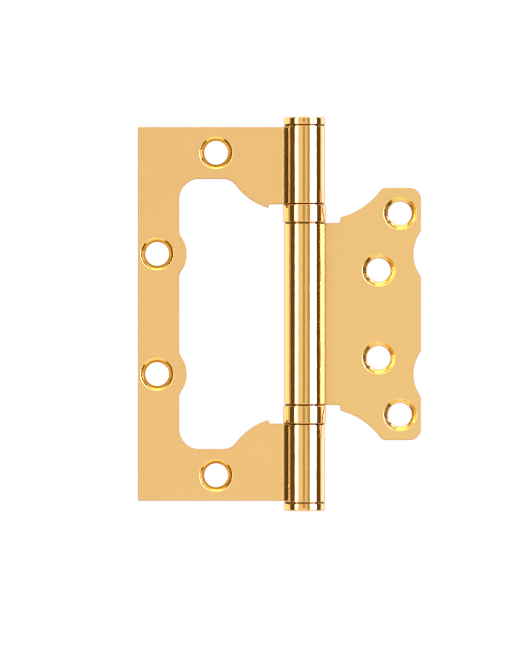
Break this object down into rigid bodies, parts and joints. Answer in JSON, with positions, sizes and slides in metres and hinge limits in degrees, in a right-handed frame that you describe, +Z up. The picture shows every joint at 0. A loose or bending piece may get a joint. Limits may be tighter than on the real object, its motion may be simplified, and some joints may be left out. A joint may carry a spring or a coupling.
{
  "type": "ball-bearing door hinge",
  "caption": "Flush butterfly door hinge of polished brass-plated steel: a cut-out frame leaf, a nesting door leaf, rolled knuckles on a pin and ball bearings between them.",
  "frame": {"origin": "midway between the frame leaf's two edge screws, on the leaf's back face, which lies against the door frame", "axes": "+Z up along the pin, +X from the frame leaf to the door leaf as it lies flat open, +Y out of the back faces into the wood"},
  "size_m": [0.0758, 0.0116, 0.1054],
  "materials": {
    "plated_sheet": "steel sheet with a bright brass-coloured plating, smooth and lightly reflecting on the flats",
    "plated_turning": "turned steel with the same bright plating, mirror polished",
    "pin_steel": "plain ground steel bar",
    "bearing_steel": "hardened and polished bearing steel",
    "cage_brass": "stamped brass, bare"
  },
  "bodies": {
    "frame_side": {"frame_leaf": "plated_sheet", "hinge_pin": "pin_steel", "top_cap": "plated_turning", "bottom_cap": "plated_turning", "upper_bearing_shell": "plated_turning", "upper_frame_race": "bearing_steel", "lower_bearing_shell": "plated_turning", "lower_frame_race": "bearing_steel"},
    "door_side": {"door_leaf": "plated_sheet", "upper_door_race": "bearing_steel", "lower_door_race": "bearing_steel"},
    "upper_ball_ring": {"upper_ball_cage": "cage_brass", "upper_ball_1": "bearing_steel", "upper_ball_2": "bearing_steel", "upper_ball_3": "bearing_steel", "upper_ball_4": "bearing_steel", "upper_ball_5": "bearing_steel"},
    "lower_ball_ring": {"lower_ball_cage": "cage_brass", "lower_ball_1": "bearing_steel", "lower_ball_2": "bearing_steel", "lower_ball_3": "bearing_steel", "lower_ball_4": "bearing_steel", "lower_ball_5": "bearing_steel"}
  },
  "joints": [
    {"name": "leaf_swing", "type": "hinge", "parent": "frame_side", "child": "door_side", "pos_m": [0.0395, 0, 0], "axis": [0, 0, -1], "range_deg": [0, 180]},
    {"name": "upper_ball_orbit", "type": "hinge", "parent": "frame_side", "child": "upper_ball_ring", "pos_m": [0.0395, 0, 0], "axis": [0, 0, -1], "range_deg": [0, 90]},
    {"name": "lower_ball_orbit", "type": "hinge", "parent": "frame_side", "child": "lower_ball_ring", "pos_m": [0.0395, 0, 0], "axis": [0, 0, -1], "range_deg": [0, 90]}
  ],
  "couplings": [
    {"joint": "upper_ball_orbit", "follows": "leaf_swing", "ratio": 0.5},
    {"joint": "lower_ball_orbit", "follows": "leaf_swing", "ratio": 0.5}
  ]
}
